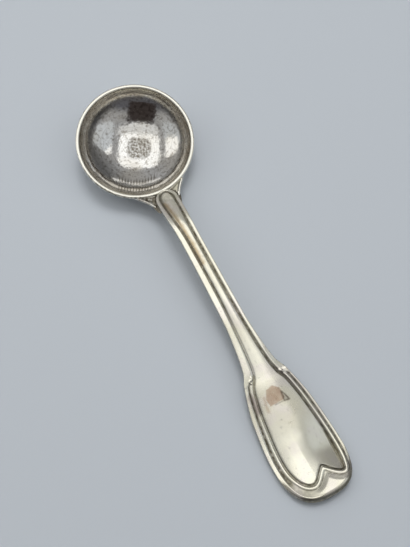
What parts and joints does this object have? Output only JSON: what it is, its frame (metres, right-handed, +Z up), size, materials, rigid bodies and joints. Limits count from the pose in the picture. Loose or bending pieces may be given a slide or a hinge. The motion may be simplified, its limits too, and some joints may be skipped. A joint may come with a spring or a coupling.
{
  "type": "ladle",
  "caption": "Small silver salt or sauce ladle: round bowl with a rolled lip, hard-soldered to an arched fiddle handle with thread borders and a heart-ended panel.",
  "frame": {"origin": "middle of the worn flat under the bowl, on the surface that the ladle lies on", "axes": "+Z up, +X from the bowl to the handle's end, +Y to the left of someone who looks along +X"},
  "size_m": [0.0989, 0.026, 0.01],
  "materials": {
    "polished_silver": "bright polished silver with fine wear scratches and a little warm tarnish",
    "satin_silver": "softly worn struck silver, dark tarnish in the grooves",
    "solder": "rough, pitted and tarnished silver solder"
  },
  "bodies": {
    "root": {"bowl": "polished_silver", "handle": "satin_silver", "solder_seam": "solder", "solder_fillet_left": "solder", "solder_fillet_right": "solder"}
  },
  "joints": []
}
